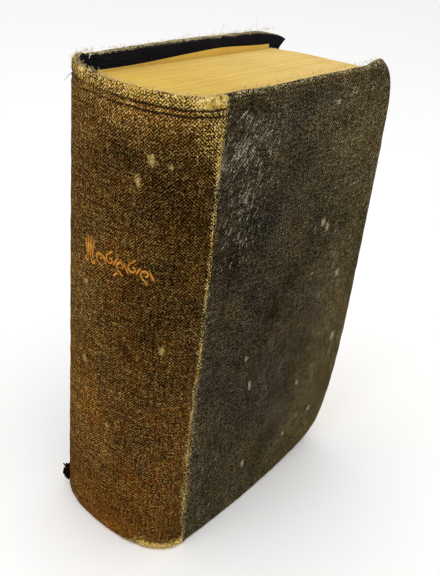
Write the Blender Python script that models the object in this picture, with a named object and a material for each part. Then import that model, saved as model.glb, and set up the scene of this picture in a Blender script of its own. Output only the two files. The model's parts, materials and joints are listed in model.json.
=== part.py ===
"""A small, thick, cloth-bound prayer book, standing upright on its tail.

The spine faces -X, the front cover -Y and the rear cover +Y. Everything behind the two joints (the
rounded spine with its linings, tapes and glued folds) stays still. Each cover, free endpaper and
gathering of leaves turns about the vertical line along the outer edge of its own joint, so that the
pieces fan open one behind the other and never cross.

Each position below is measured from the front joint at floor level: x towards the fore-edge, y from
the front cover to the rear one. The empty "book" moves that frame to the middle of the footprint.
"""

import math

import bmesh
import bpy

MM = 0.001

# The covers.
HEIGHT = 146 * MM
THICKNESS = 50.0 * MM
FRONT_WIDTH = 78.4 * MM
REAR_WIDTH = 79.2 * MM
FRONT_LEAN = math.radians(0.8)
REAR_LEAN = math.radians(2.5)
HEAD_CORNER = 9 * MM
TAIL_CORNER = 8 * MM
CORNER_STEPS = 6

# The rounded spine, a superellipse in plan.
SPINE_DEPTH = 13.8 * MM
SPINE_POWER = 2.3
SPINE_STEPS = 26

# Sheet thicknesses, and the clearance that each piece keeps to the next one.
GAP = 0.3 * MM
CLOTH = 0.5 * MM
BOARD = 2.2 * MM
TURN_IN = 0.4 * MM
PAPER = 0.3 * MM
INLAY = 0.5 * MM
TAPE = 0.5 * MM
THREAD = 0.6 * MM
HOLLOW_BACK = 0.6 * MM

# The joints: how far the moving pieces and the spine stay from the plane x = 0, and how far outside
# the covers the two hinge lines run.
MOVING_START = 0.35 * MM
SPINE_END = -0.15 * MM
AXIS_OUTSIDE = 0.2 * MM
PAST_JOINT = -2 * MM

# The leaves.
GATHERINGS = 24
STILL_GATHERINGS = (11, 12, 13, 14)
LEAF_TAIL = 4.5 * MM
LEAF_HEAD = 140.8 * MM
FORE_EDGE_FRONT = 78.0 * MM
FORE_EDGE_REAR = 67.5 * MM
FORE_EDGE_POWER = 1.4
FOLD_ROUNDING = 0.45 * MM

# Widths and lengths of what is pasted inside.
TURN_IN_WIDTH = 12 * MM
PASTEDOWN_HEAD_MARGIN = 3.2 * MM
PASTEDOWN_FORE_MARGIN = 10.5 * MM
BOARD_START = 1.5 * MM
MULL_MARGIN = 14 * MM
MULL_FLANGE = 28 * MM
LINING_MARGIN = 2 * MM
TAPE_WIDTH = 9 * MM
TAPE_HEIGHTS = {"lower": 38 * MM, "middle": 73 * MM, "upper": 108 * MM}
KETTLE_HEIGHTS = {"tail": 17 * MM, "head": 128 * MM}

# Where each layer of a cover starts, measured inwards from its outer face.
BOARD_AT = CLOTH + GAP
TURN_IN_AT = BOARD_AT + BOARD + GAP
PASTEDOWN_AT = TURN_IN_AT + TURN_IN + GAP
ENDPAPER_AT = PASTEDOWN_AT + PAPER + GAP
LEAVES_AT = ENDPAPER_AT + PAPER + GAP

# Where each layer of the spine starts, measured inwards from the cloth's outer face.
INLAY_AT = CLOTH + GAP
SPINE_TURN_IN_AT = INLAY_AT + INLAY + GAP
LINING_AT = SPINE_TURN_IN_AT + TURN_IN + HOLLOW_BACK
MULL_AT = LINING_AT + PAPER + GAP
TAPE_AT = MULL_AT + PAPER + GAP
FOLDS_AT = TAPE_AT + THREAD + GAP

COLOURS = {
    "cover_cloth": (0.050, 0.044, 0.036),
    "spine_cloth": (0.155, 0.095, 0.035),
    "board": (0.42, 0.33, 0.21),
    "endpaper": (0.70, 0.52, 0.27),
    "leaf": (0.74, 0.60, 0.38),
    "fold": (0.66, 0.53, 0.33),
    "mull": (0.63, 0.57, 0.45),
    "lining": (0.50, 0.40, 0.26),
    "tape": (0.72, 0.66, 0.52),
    "thread": (0.78, 0.72, 0.58),
}


def clear_scene():
    for obj in list(bpy.data.objects):
        bpy.data.objects.remove(obj)


def collection(name):
    made = bpy.data.collections.new(name)
    bpy.context.scene.collection.children.link(made)
    return made


def empty(name, group, parent, location, turn=0.0):
    made = bpy.data.objects.new(name, None)
    made.parent = parent
    made.location = location
    made.rotation_euler.z = turn
    group.objects.link(made)
    return made


def finish(obj, colour):
    """Gives the object its own matt material."""
    material = bpy.data.materials.new(obj.name)
    material.use_nodes = True
    shader = material.node_tree.nodes["Principled BSDF"]
    shader.inputs["Base Color"].default_value = (*COLOURS[colour], 1.0)
    shader.inputs["Roughness"].default_value = 0.85
    shader.inputs["Metallic"].default_value = 0.0
    obj.data.materials.append(material)


def add(name, data, group, parent):
    obj = bpy.data.objects.new(name, data)
    obj.parent = parent
    group.objects.link(obj)
    return obj


def flat_curve(name, outline, thickness):
    """A filled 2D curve through the outline, extruded to the thickness about its own plane."""
    curve = bpy.data.curves.new(name, "CURVE")
    curve.dimensions = "2D"
    curve.fill_mode = "BOTH"
    curve.extrude = thickness / 2
    spline = curve.splines.new("POLY")
    spline.points.add(len(outline) - 1)
    for point, (x, y) in zip(spline.points, outline):
        point.co = (x, y, 0, 1)
    spline.use_cyclic_u = True
    return curve


def standing(name, outline, low, high, colour, group, parent):
    """A plan outline raised from the height low to the height high."""
    obj = add(name, flat_curve(name, outline, high - low), group, parent)
    obj.location.z = (low + high) / 2
    finish(obj, colour)
    return obj


def leaf_like(name, outline, start, thickness, inwards, colour, group, parent):
    """An outline in (x, z) under a cover's axis, standing upright, from the depth start inwards."""
    obj = add(name, flat_curve(name, outline, thickness), group, parent)
    obj.rotation_euler.x = math.pi / 2
    obj.location.y = inwards * (AXIS_OUTSIDE + start + thickness / 2)
    if colour:
        finish(obj, colour)
    return obj


def as_mesh(obj):
    """The curve object's shape as a mesh object with welded caps, in the curve's place."""
    bpy.context.view_layer.update()
    graph = bpy.context.evaluated_depsgraph_get()
    mesh = bpy.data.meshes.new_from_object(obj.evaluated_get(graph))
    form = bmesh.new()
    form.from_mesh(mesh)
    bmesh.ops.remove_doubles(form, verts=form.verts, dist=0.001 * MM)
    bmesh.ops.recalc_face_normals(form, faces=form.faces)
    form.to_mesh(mesh)
    form.free()
    name, parent, group = obj.name, obj.parent, obj.users_collection[0]
    place, turn = obj.location.copy(), obj.rotation_euler.copy()
    bpy.data.objects.remove(obj)
    made = add(name, mesh, group, parent)
    made.location = place
    made.rotation_euler = turn
    return made


def cut(obj, cutter):
    modifier = obj.modifiers.new(cutter.name, "BOOLEAN")
    modifier.operation = "DIFFERENCE"
    modifier.object = cutter
    cutter.hide_render = True
    cutter.display_type = "WIRE"


def fore_edge_outline(start, end, low, high, tail_radius, head_radius):
    """An upright oblong in (x, z) whose two corners at the fore-edge are rounded."""
    points = [(start, low)]
    corners = (
        (end - tail_radius, low + tail_radius, tail_radius, -90),
        (end - head_radius, high - head_radius, head_radius, 0),
    )
    for x, z, radius, first in corners:
        for step in range(CORNER_STEPS + 1):
            angle = math.radians(first + 90 * step / CORNER_STEPS)
            points.append((x + radius * math.cos(angle), z + radius * math.sin(angle)))
    points.append((start, high))
    return points


def oblong(start, end, margin):
    """An upright oblong in (x, z), the margin below the head and above the tail."""
    return [(start, margin), (end, margin), (end, HEIGHT - margin), (start, HEIGHT - margin)]


def spine_curve(depth):
    """Plan points of the spine's curve, moved inwards by depth, from the front joint to the rear one."""
    half = THICKNESS / 2

    def outer(angle):
        along, across = math.cos(angle), math.sin(angle)
        y = half - math.copysign(half * abs(along) ** (2 / SPINE_POWER), along)
        return -SPINE_DEPTH * across ** (2 / SPINE_POWER), y

    points = [(SPINE_END, depth)]
    small = 1e-4
    for step in range(1, SPINE_STEPS):
        angle = math.pi * step / SPINE_STEPS
        (x0, y0), (x, y), (x1, y1) = outer(angle - small), outer(angle), outer(angle + small)
        length = math.hypot(x1 - x0, y1 - y0)
        inner = (x + depth * (y1 - y0) / length, y - depth * (x1 - x0) / length)
        if inner[0] < SPINE_END - GAP and depth < inner[1] < THICKNESS - depth:
            points.append(inner)
    points.append((SPINE_END, THICKNESS - depth))
    return points


def spine_band(name, start, thickness, low, high, colour, group, parent):
    """A curved sheet that follows the spine at the depth start."""
    outline = spine_curve(start) + spine_curve(start + thickness)[::-1]
    return standing(name, outline, low, high, colour, group, parent)


def spine_cloth(group, parent):
    """The cloth over the spine, folded over the inlay at head and tail: its section carried along the curve."""
    inside, flap = SPINE_TURN_IN_AT, SPINE_TURN_IN_AT + TURN_IN
    section = [
        (0, 0),
        (0, HEIGHT),
        (flap, HEIGHT),
        (flap, HEIGHT - TURN_IN_WIDTH),
        (inside, HEIGHT - TURN_IN_WIDTH),
        (inside, HEIGHT - CLOTH),
        (CLOTH, HEIGHT - CLOTH),
        (CLOTH, CLOTH),
        (inside, CLOTH),
        (inside, TURN_IN_WIDTH),
        (flap, TURN_IN_WIDTH),
        (flap, 0),
    ]
    curves = {depth: spine_curve(depth) for depth in {depth for depth, _ in section}}
    stations = min(len(curve) for curve in curves.values())
    form = bmesh.new()
    rings = []
    for station in range(stations):
        ring = []
        for depth, z in section:
            curve = curves[depth]
            x, y = curve[round(station * (len(curve) - 1) / (stations - 1))]
            ring.append(form.verts.new((x, y, z)))
        rings.append(ring)
    for ring, following in zip(rings, rings[1:]):
        for corner in range(len(section)):
            after = (corner + 1) % len(section)
            form.faces.new((ring[corner], ring[after], following[after], following[corner]))
    form.faces.new(rings[0])
    form.faces.new(rings[-1])
    bmesh.ops.recalc_face_normals(form, faces=form.faces)
    mesh = bpy.data.meshes.new("spine_cloth")
    form.to_mesh(mesh)
    form.free()
    finish(add("spine_cloth", mesh, group, parent), "spine_cloth")


def kettle_stitch(end, height, group, parent):
    """The chain of thread across the back of the folds, as one round strand."""
    curve = bpy.data.curves.new("kettle_stitch_" + end, "CURVE")
    curve.dimensions = "3D"
    curve.bevel_depth = THREAD / 2
    curve.bevel_resolution = 2
    curve.use_fill_caps = True
    route = [point for point in spine_curve(TAPE_AT + THREAD / 2) if point[0] < SPINE_END - THREAD]
    spline = curve.splines.new("POLY")
    spline.points.add(len(route) - 1)
    for point, (x, y) in zip(spline.points, route):
        point.co = (x, y, height, 1)
    finish(add(curve.name, curve, group, parent), "thread")


def back_of_folds(y):
    """How far back the folds reach at y."""
    route = spine_curve(FOLDS_AT)
    for (x0, y0), (x1, y1) in zip(route, route[1:]):
        if y0 <= y <= y1:
            return x0 + (x1 - x0) * (y - y0) / (y1 - y0)
    return SPINE_END


def leaf_line(boundary, x):
    """The y of the boundary between two gatherings at x; boundary 0 is in front of the first one."""
    front = LEAVES_AT - GAP / 2 + x * math.tan(FRONT_LEAN)
    rear = THICKNESS - LEAVES_AT + GAP / 2 - x * math.tan(REAR_LEAN)
    return front + (rear - front) * boundary / GATHERINGS


def fore_edge(boundary):
    """The x of the leaves' fore-edge at a boundary. The block leans forward at the front cover."""
    from_rear = 1 - boundary / GATHERINGS
    return FORE_EDGE_REAR + (FORE_EDGE_FRONT - FORE_EDGE_REAR) * from_rear**FORE_EDGE_POWER


def sewn_folds(group, parent):
    """The glued and sewn backs of all the gatherings, one rounded fold for each."""
    inner = SPINE_END
    outline = [(inner, leaf_line(0, 0) + GAP / 2)]
    for number in range(GATHERINGS):
        middle = leaf_line(number + 0.5, 0)
        outline.append((min(back_of_folds(middle), inner - GAP), middle))
        if number < GATHERINGS - 1:
            between = leaf_line(number + 1, 0)
            outline.append((min(back_of_folds(between) + FOLD_ROUNDING, inner - GAP), between))
    outline.append((inner, leaf_line(GATHERINGS, 0) - GAP / 2))
    standing("sewn_folds", outline, LEAF_TAIL, LEAF_HEAD, "fold", group, parent)


def gathering(number, group, parent):
    """One gathering's leaves, from just in front of the folds to the fore-edge, under its hinge line."""
    ends = []
    for boundary, clearance in ((number - 1, GAP / 2), (number, -GAP / 2)):
        edge = fore_edge(boundary)
        ends.append(
            [
                (MOVING_START, leaf_line(boundary, MOVING_START) + clearance),
                (edge, leaf_line(boundary, edge) + clearance),
            ]
        )
    hinge_y = parent.location.y
    outline = [(x, y - hinge_y) for x, y in ends[0] + ends[1][::-1]]
    name = f"gathering_{number:02d}"
    standing(name, outline, LEAF_TAIL, LEAF_HEAD, "leaf", group, parent)


def cover(side, width, inwards, group, cutters, axis):
    """One cover: the cloth with its turn-ins, the board, the mull's flange, and the endpapers."""

    def sheet(name, outline, start, thickness, colour=None, into=group):
        return leaf_like(name, outline, start, thickness, inwards, colour, into, axis)

    corners = (TAIL_CORNER, HEAD_CORNER)
    whole = fore_edge_outline(MOVING_START, width, 0, HEIGHT, *corners)
    cloth = as_mesh(sheet(f"{side}_cover_cloth", whole, 0, TURN_IN_AT + TURN_IN))
    finish(cloth, "cover_cloth")

    def inset(start, margin):
        radii = [radius - margin for radius in corners]
        return fore_edge_outline(start, width - margin, margin, HEIGHT - margin, *radii)

    pocket = sheet(
        f"{side}_pocket", inset(PAST_JOINT, CLOTH), CLOTH, TURN_IN_AT - CLOTH, into=cutters
    )
    cut(cloth, as_mesh(pocket))
    opening = oblong(PAST_JOINT, width - TURN_IN_WIDTH, TURN_IN_WIDTH)
    window = sheet(f"{side}_window", opening, BOARD_AT, TURN_IN_AT + TURN_IN, into=cutters)
    cut(cloth, as_mesh(window))

    sheet(f"{side}_board", inset(BOARD_START, CLOTH + GAP), BOARD_AT, BOARD, "board")
    flange = oblong(2 * MOVING_START, MULL_FLANGE, MULL_MARGIN)
    sheet(f"{side}_mull_flange", flange, TURN_IN_AT, TURN_IN, "mull")
    pasted = oblong(MOVING_START, width - PASTEDOWN_FORE_MARGIN, PASTEDOWN_HEAD_MARGIN)
    sheet(f"{side}_pastedown", pasted, PASTEDOWN_AT, PAPER, "endpaper")


def free_endpaper(side, boundary, inwards, group, axis):
    end = fore_edge(boundary)
    outline = [
        (MOVING_START, LEAF_TAIL),
        (end, LEAF_TAIL),
        (end, LEAF_HEAD),
        (MOVING_START, LEAF_HEAD),
    ]
    name = f"{side}_free_endpaper"
    leaf_like(name, outline, ENDPAPER_AT, PAPER, inwards, "endpaper", group, axis)


def main():
    clear_scene()
    group = collection("prayer_book")
    cutters = collection("cutters")
    middle = ((REAR_WIDTH * math.cos(REAR_LEAN) - SPINE_DEPTH) / 2, THICKNESS / 2)
    book = empty("book", group, None, (-middle[0], -middle[1], 0))
    spine_axis = empty("spine_axis", group, book, (0, 0, 0))

    spine_cloth(group, book)
    spine_band("spine_inlay", INLAY_AT, INLAY, INLAY_AT, HEIGHT - INLAY_AT, "board", group, book)
    low, high = LEAF_TAIL + LINING_MARGIN, LEAF_HEAD - LINING_MARGIN
    spine_band("back_lining", LINING_AT, PAPER, low, high, "lining", group, book)
    low, high = MULL_MARGIN, HEIGHT - MULL_MARGIN
    spine_band("mull", MULL_AT, PAPER, low, high, "mull", group, book)
    for place, height in TAPE_HEIGHTS.items():
        low, high = height - TAPE_WIDTH / 2, height + TAPE_WIDTH / 2
        spine_band(f"sewing_tape_{place}", TAPE_AT, TAPE, low, high, "tape", group, book)
    for end, height in KETTLE_HEIGHTS.items():
        kettle_stitch(end, height, group, book)
    sewn_folds(group, book)

    front_axis = (0, -AXIS_OUTSIDE, 0)
    rear_axis = (0, THICKNESS + AXIS_OUTSIDE, 0)
    front_cover_axis = empty("front_cover_axis", group, book, front_axis, FRONT_LEAN)
    rear_cover_axis = empty("rear_cover_axis", group, book, rear_axis, -REAR_LEAN)
    front_leaf_axis = empty("front_leaf_axis", group, book, front_axis)
    rear_leaf_axis = empty("rear_leaf_axis", group, book, rear_axis)
    cover("front", FRONT_WIDTH, 1, group, cutters, front_cover_axis)
    cover("rear", REAR_WIDTH, -1, group, cutters, rear_cover_axis)
    free_endpaper("front", 0, 1, group, front_cover_axis)
    free_endpaper("rear", GATHERINGS, -1, group, rear_cover_axis)
    for number in range(1, GATHERINGS + 1):
        if number in STILL_GATHERINGS:
            parent = spine_axis
        elif number < STILL_GATHERINGS[0]:
            parent = front_leaf_axis
        else:
            parent = rear_leaf_axis
        gathering(number, group, parent)


main()
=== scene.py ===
"""The looks of an old cloth-bound prayer book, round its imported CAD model.

Lengths are in millimetres in the book's own frame until a mesh is made: x from the joints towards the
fore-edge, y from the front cover's outer face to the rear one's, z from tail to head. A cover's cloth
has flat coordinates too: u along the cloth (0 at the joint, negative round the spine), z, and the
depth d below the outer face. Each piece keeps them in the attribute "flat", so that weave and stains
stay on the cloth when a cover opens.
"""

import json
import math

import bpy
import numpy as np
from mathutils import Euler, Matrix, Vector


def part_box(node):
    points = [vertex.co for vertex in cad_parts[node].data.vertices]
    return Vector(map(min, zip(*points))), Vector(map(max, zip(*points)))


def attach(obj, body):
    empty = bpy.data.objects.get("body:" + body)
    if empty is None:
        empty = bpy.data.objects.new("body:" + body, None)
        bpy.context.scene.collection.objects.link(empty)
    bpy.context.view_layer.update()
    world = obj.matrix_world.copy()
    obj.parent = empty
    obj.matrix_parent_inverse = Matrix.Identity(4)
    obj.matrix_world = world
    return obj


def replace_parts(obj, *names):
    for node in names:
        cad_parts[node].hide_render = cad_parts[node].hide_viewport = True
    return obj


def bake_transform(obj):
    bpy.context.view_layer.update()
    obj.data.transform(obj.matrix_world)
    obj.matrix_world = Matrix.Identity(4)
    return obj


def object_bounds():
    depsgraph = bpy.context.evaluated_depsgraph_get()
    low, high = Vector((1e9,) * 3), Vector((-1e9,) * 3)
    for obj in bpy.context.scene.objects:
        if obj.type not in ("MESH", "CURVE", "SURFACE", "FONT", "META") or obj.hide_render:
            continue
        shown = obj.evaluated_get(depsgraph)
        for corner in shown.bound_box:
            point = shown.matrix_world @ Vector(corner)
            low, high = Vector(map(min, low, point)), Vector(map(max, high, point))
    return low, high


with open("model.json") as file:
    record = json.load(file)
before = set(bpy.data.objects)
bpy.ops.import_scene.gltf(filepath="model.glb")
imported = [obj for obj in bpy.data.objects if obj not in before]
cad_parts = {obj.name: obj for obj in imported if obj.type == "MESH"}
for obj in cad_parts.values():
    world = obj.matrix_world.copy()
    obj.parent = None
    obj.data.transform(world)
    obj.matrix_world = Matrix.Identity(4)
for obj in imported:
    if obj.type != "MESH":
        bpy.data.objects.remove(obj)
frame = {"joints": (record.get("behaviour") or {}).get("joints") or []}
cad_low, cad_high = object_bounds()

MM = 0.001
HINGES = {joint["name"]: joint for joint in frame["joints"]}
AXIS_OUTSIDE = 0.2
FRONT_AXIS = HINGES["front_cover_hinge"]["pos_m"]
REAR_AXIS = HINGES["rear_cover_hinge"]["pos_m"]

# The book's outer sizes, as the CAD model has them.
HEIGHT = (cad_high.z - cad_low.z) / MM
THICKNESS = (REAR_AXIS[1] - FRONT_AXIS[1]) / MM - 2 * AXIS_OUTSIDE
SPINE_DEPTH = (FRONT_AXIS[0] - cad_low.x) / MM
SPINE_POWER = 2.3
FRONT_WIDTH = (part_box("front_cover_cloth")[1].x - FRONT_AXIS[0]) / MM
REAR_WIDTH = (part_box("rear_cover_cloth")[1].x - REAR_AXIS[0]) / MM
REAR_LEAN = math.radians(2.5)
HEAD_BULGE = 2.0
HEAD_SPREAD = 0.5
LEAF_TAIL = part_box("gathering_01")[0].z / MM
LEAF_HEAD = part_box("gathering_01")[1].z / MM
GATHERINGS = 24
STILL_GATHERINGS = (11, 12, 13, 14)
FORE_EDGE_FRONT = 78.0
FORE_EDGE_REAR = 71.5
FORE_EDGE_POWER = 1.4

# The layers of a cover, by their depth below its outer face.
COVER_THICKNESS = 3.7
SPINE_FOLD_THICKNESS = 2.1
CLOTH_THICKNESS = 0.35
PASTEDOWN_DEPTH = 3.78
ENDPAPER_DEPTH = 4.5
LEAVES_DEPTH = 5.1
FOLDS_DEPTH = 5.05
GAUZE_INSET = 14.0

# The seam between the spine's piece and a cover's.
SEAM = -4.0


# ---------------------------------------------------------------- shapes shared by the pieces


def ripple(a, b, wavelength, seed, waves=14):
    """A smooth uneven field over (a, b), about -1 to 1, with features near the wavelength."""
    random = np.random.default_rng(seed)
    total = np.zeros(np.broadcast(a, b).shape)
    for _ in range(waves):
        turn = random.uniform(0, 2 * math.pi)
        size = 2 * math.pi / (wavelength * random.uniform(0.7, 2.2))
        phase = random.uniform(0, 2 * math.pi)
        total += np.sin(size * (a * math.cos(turn) + b * math.sin(turn)) + phase)
    return total * math.sqrt(2 / waves) / 1.6


def smooth(low, high, value):
    share = np.clip((value - low) / (high - low), 0, 1)
    return share * share * (3 - 2 * share)


def hill(value, centre, reach):
    """1 at the centre, falling smoothly to nothing at about twice the reach."""
    return np.exp(-(((value - centre) / reach) ** 2))


def front_face(x, z):
    """The y of the front cover's outer face. Its corner at the tail is bumped inwards."""
    reach = np.clip(x, 0, None) / 75
    bumped = 6.8 * reach**1.8 * np.exp(-z / 23)
    return bumped + 0.12 * reach * ripple(x, z, 60, 1)


def rear_face(x, z):
    """The y of the rear cover's outer face, which leans in towards the fore-edge."""
    reach = np.clip(x, 0, None)
    curled = 1.2 * (reach / 80) ** 2 * np.exp(-z / 30)
    plain = THICKNESS + HEAD_SPREAD * z / HEIGHT - reach * math.tan(REAR_LEAN)
    return plain - curled + 0.12 * reach / 80 * ripple(x, z, 60, 2)


def spine_table():
    """Dense points of the spine's curve, with the length along it from the front joint."""
    angle = np.linspace(0, math.pi, 4001)
    along, across = np.cos(angle), np.sin(angle)
    half = THICKNESS / 2
    x = -SPINE_DEPTH * across ** (2 / SPINE_POWER)
    y = half - half * np.sign(along) * np.abs(along) ** (2 / SPINE_POWER)
    length = np.concatenate([[0], np.cumsum(np.hypot(np.diff(x), np.diff(y)))])
    return x, y, length


SPINE_X, SPINE_Y, SPINE_LENGTH = spine_table()
SPINE_ROUND = float(SPINE_LENGTH[-1])


def on_spine(length, depth):
    """(x, y) on the spine at a length along it, moved inwards by the depth."""
    step = 0.15
    low = np.clip(length - step, 0, SPINE_ROUND)
    high = np.clip(length + step, 0, SPINE_ROUND)
    dx = np.interp(high, SPINE_LENGTH, SPINE_X) - np.interp(low, SPINE_LENGTH, SPINE_X)
    dy = np.interp(high, SPINE_LENGTH, SPINE_Y) - np.interp(low, SPINE_LENGTH, SPINE_Y)
    size = np.hypot(dx, dy)
    x = np.interp(length, SPINE_LENGTH, SPINE_X) + depth * dy / size
    y = np.interp(length, SPINE_LENGTH, SPINE_Y) - depth * dx / size
    return x, y


def head_bulge(share, z):
    """How far the spine is pushed out towards the head; share is 0 at the front joint and 1 at the rear."""
    return HEAD_BULGE * z / HEIGHT * np.sin(np.pi * share) * (0.4 + 1.2 * share)


def spine_point(length, z, depth):
    """(x, y) on the spine's outer face, at a length along it from the front joint."""
    x, y = on_spine(length, depth)
    share = length / SPINE_ROUND
    return x - head_bulge(share, z), y + HEAD_SPREAD * z / HEIGHT * share


def case_point(side, flat):
    """Where the flat cloth coordinates (u, z, d) of the front or rear side lie in the book."""
    u, z, d = flat[:, 0], flat[:, 1], flat[:, 2]
    round_u = np.clip(-u, 0, SPINE_ROUND)
    if side == "front":
        spine_x, spine_y = spine_point(round_u, z, d)
        cover_y = front_face(u, z) + d
    else:
        spine_x, spine_y = spine_point(SPINE_ROUND - round_u, z, d)
        cover_y = rear_face(u, z) - d
    x = np.where(u < 0, spine_x, u)
    y = np.where(u < 0, spine_y, cover_y)
    return np.column_stack([x, y, z])


def block_y(x, z, share):
    """The y in the block of leaves; share is 0 at its front and 1 at its rear."""
    front = front_face(x, z) + LEAVES_DEPTH
    rear = rear_face(x, z) - LEAVES_DEPTH
    return front + (rear - front) * share


def fore_edge(share):
    """The x of the leaves' fore-edge: the block leans forward at the front cover."""
    return FORE_EDGE_REAR + (FORE_EDGE_FRONT - FORE_EDGE_REAR) * (1 - share) ** FORE_EDGE_POWER


def head_lift(x, share):
    """How much higher the leaves' head edge stands towards the front cover's corner."""
    return 0.7 * smooth(0.0, 0.35, 1 - share) * smooth(10, 70, x)


def back_edge(y):
    """The x of the leaves' folds at y, and the share of the spine's round there."""
    length = np.linspace(0, SPINE_ROUND, 800)
    x, across = on_spine(length, np.full(800, FOLDS_DEPTH))
    return float(np.interp(y, across, x)), float(np.interp(y, across, length / SPINE_ROUND))


# ---------------------------------------------------------------- meshes


def to_world(points):
    world = np.empty((len(points), 3))
    world[:, 0] = FRONT_AXIS[0] + points[:, 0] * MM
    world[:, 1] = FRONT_AXIS[1] + (AXIS_OUTSIDE + points[:, 1]) * MM
    world[:, 2] = cad_low.z + points[:, 2] * MM
    return world


def mesh_object(name, points, faces, material, flat=None, smooth_shading=True, **values):
    """A mesh object from points in the book's frame, with its flat coordinates and painted values."""
    mesh = bpy.data.meshes.new(name)
    mesh.from_pydata(to_world(points).tolist(), [], [list(face) for face in faces])
    layer = mesh.attributes.new("flat", "FLOAT_VECTOR", "POINT")
    layer.data.foreach_set("vector", (points if flat is None else flat).astype(np.float32).ravel())
    for key, value in values.items():
        layer = mesh.attributes.new(key, "FLOAT", "POINT")
        layer.data.foreach_set("value", np.asarray(value, np.float32))
    if smooth_shading:
        mesh.shade_smooth()
    mesh.materials.append(material)
    mesh.validate()
    obj = bpy.data.objects.new(name, mesh)
    bpy.context.scene.collection.objects.link(obj)
    return obj


def grid_faces(rows, columns, first=0):
    """Quads over a grid of points stored row by row."""
    index = first + np.arange(rows * columns).reshape(rows, columns)
    corners = index[:-1, :-1], index[:-1, 1:], index[1:, 1:], index[1:, :-1]
    return np.stack(corners, axis=-1).reshape(-1, 4).tolist()


def grid(x, z):
    """Every pair of an x and a z, as two 2D arrays with a row for each x."""
    return np.meshgrid(x, z, indexing="ij")


def solidify(obj, thickness, offset=-1.0):
    modifier = obj.modifiers.new("thickness", "SOLIDIFY")
    modifier.thickness = thickness * MM
    modifier.offset = offset
    modifier.use_even_offset = False
    return obj


def apply_modifiers(obj):
    graph = bpy.context.evaluated_depsgraph_get()
    mesh = bpy.data.meshes.new_from_object(obj.evaluated_get(graph))
    obj.modifiers.clear()
    obj.data = mesh
    return obj


def stand_in(obj, node):
    """The piece takes the CAD node's place: the node's part is hidden."""
    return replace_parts(obj, node)


def bend_at_joint(obj):
    """Bakes the piece's placement into its mesh."""
    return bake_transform(obj)


# ---------------------------------------------------------------- materials


class Shader:
    """A Principled material and short calls that add nodes to it."""

    def __init__(self, name, roughness, **values):
        self.material = bpy.data.materials.new(name)
        self.material.use_nodes = True
        self.nodes = self.material.node_tree.nodes
        self.links = self.material.node_tree.links
        self.principled = self.nodes["Principled BSDF"]
        self.principled.inputs["Roughness"].default_value = roughness
        for key, value in values.items():
            self.principled.inputs[key.replace("_", " ")].default_value = value

    def put(self, socket, value):
        if isinstance(value, bpy.types.NodeSocket):
            self.links.new(value, socket)
        elif isinstance(value, tuple) and len(value) == 3 and socket.type == "RGBA":
            socket.default_value = (*value, 1.0)
        else:
            socket.default_value = value

    def node(self, kind, *inputs, **settings):
        made = self.nodes.new("ShaderNode" + kind)
        for key, value in settings.items():
            setattr(made, key, value)
        for socket, value in zip(made.inputs, inputs):
            if value is not None:
                self.put(socket, value)
        return made

    def math(self, operation, *inputs):
        return self.node("Math", *inputs, operation=operation).outputs[0]

    def times(self, first, second):
        return self.math("MULTIPLY", first, second)

    def scaled(self, value, factor, added):
        return self.math("MULTIPLY_ADD", value, factor, added)

    def vector(self, operation, *inputs):
        return self.node("VectorMath", *inputs, operation=operation).outputs[0]

    def painted(self, name):
        return self.node("Attribute", attribute_name=name).outputs["Fac"]

    def flat(self):
        return self.node("Attribute", attribute_name="flat").outputs["Vector"]

    def noise(self, vector, scale, detail=2.0, roughness=0.5, stretch=None):
        """Noise from about 0 to 1; stretch squeezes the coordinates along each axis first."""
        if stretch:
            vector = self.vector("MULTIPLY", vector, stretch)
        made = self.node("TexNoise")
        self.put(made.inputs["Vector"], vector)
        made.inputs["Scale"].default_value = scale
        made.inputs["Detail"].default_value = detail
        made.inputs["Roughness"].default_value = roughness
        return made.outputs["Fac"]

    def span(self, value, low, high, to_low=0.0, to_high=1.0):
        """value taken from low..high to to_low..to_high, smoothly and clamped."""
        made = self.node("MapRange", interpolation_type="SMOOTHSTEP", clamp=True)
        for socket, given in zip(made.inputs, (value, low, high, to_low, to_high)):
            self.put(socket, given)
        return made.outputs[0]

    def mix(self, factor, first, second):
        made = self.node("Mix", data_type="RGBA")
        self.put(made.inputs["Factor"], factor)
        self.put(made.inputs[6], first)
        self.put(made.inputs[7], second)
        return made.outputs[2]

    def finish(self, colour, height=None, depth=0.1, strength=1.0):
        """Sets the colour and a bump whose full height is the depth in millimetres."""
        self.put(self.principled.inputs["Base Color"], colour)
        if height is not None:
            bump = self.node("Bump")
            bump.inputs["Strength"].default_value = strength
            bump.inputs["Distance"].default_value = depth * MM
            self.put(bump.inputs["Height"], height)
            self.links.new(bump.outputs["Normal"], self.principled.inputs["Normal"])
        return self.material


THREAD_PITCH = 0.92
FILLETS = (3.3, 4.9)
STREAK_SLANT = math.radians(58)
DEEPEST = (0.014, 0.007, 0.003)


def weave(s, flat):
    """(wavering place, relief, mask of raised threads) of a plain weave with uneven threads."""
    drift = s.node("TexNoise")
    s.put(drift.inputs["Vector"], flat)
    drift.inputs["Scale"].default_value = 0.6
    shift = s.vector("SCALE", s.vector("SUBTRACT", drift.outputs["Color"], (0.5, 0.5, 0.5)))
    shift.node.inputs["Scale"].default_value = 0.6
    place = s.node("SeparateXYZ", s.vector("ADD", flat, shift)).outputs
    turns = 2 * math.pi / THREAD_PITCH
    warp = s.math("SINE", s.times(place[0], turns))
    weft = s.math("SINE", s.times(place[1], turns))
    crossing = s.scaled(s.times(warp, weft), 0.5, 0.5)
    upright = s.noise(flat, 1.5, 2.0, 0.6, (1.0, 0.1, 1.0))
    level = s.noise(flat, 1.5, 2.0, 0.6, (0.1, 1.0, 1.0))
    grain = s.noise(flat, 1.9, 2.0, 0.8)
    woven = s.scaled(crossing, 0.32, s.times(grain, 1.25))
    height = s.scaled(s.math("ADD", upright, level), 0.3, woven)
    return place, height, s.span(height, 1.06, 1.24)


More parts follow.
